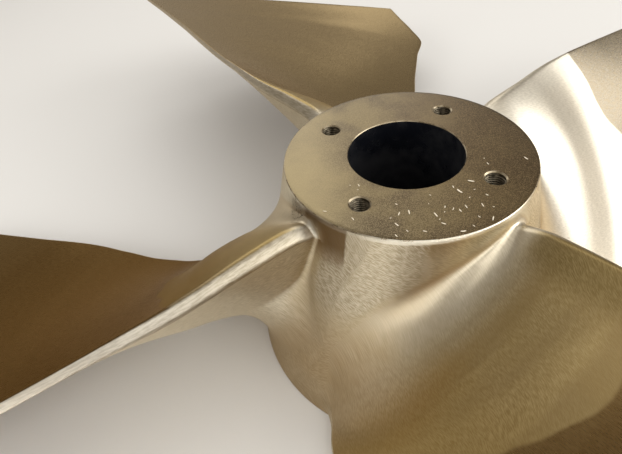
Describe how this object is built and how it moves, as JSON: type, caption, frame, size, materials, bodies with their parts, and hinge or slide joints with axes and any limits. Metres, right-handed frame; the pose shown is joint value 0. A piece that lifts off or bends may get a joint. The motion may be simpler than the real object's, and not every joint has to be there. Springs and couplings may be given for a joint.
{
  "type": "ship propeller",
  "caption": "Right-handed fixed-pitch ship propeller cast in one piece, with wide square-tipped blades, a conical hub, a tapered shaft bore and tapped holes for the hub cap.",
  "frame": {"origin": "centre of the hub's forward face, on which the casting rests", "axes": "+Z along the shaft axis from the forward face to the aft (cap) face; +X and +Y are across the shaft, and each blade's zero line lies on one of them"},
  "size_m": [1.728, 1.728, 0.252],
  "materials": {
    "bronze": "ground and brushed nickel-aluminium bronze, satin",
    "wood_dust": "loose dry wood splinters and dust"
  },
  "bodies": {
    "root": {"propeller": "bronze"}
  },
  "joints": []
}
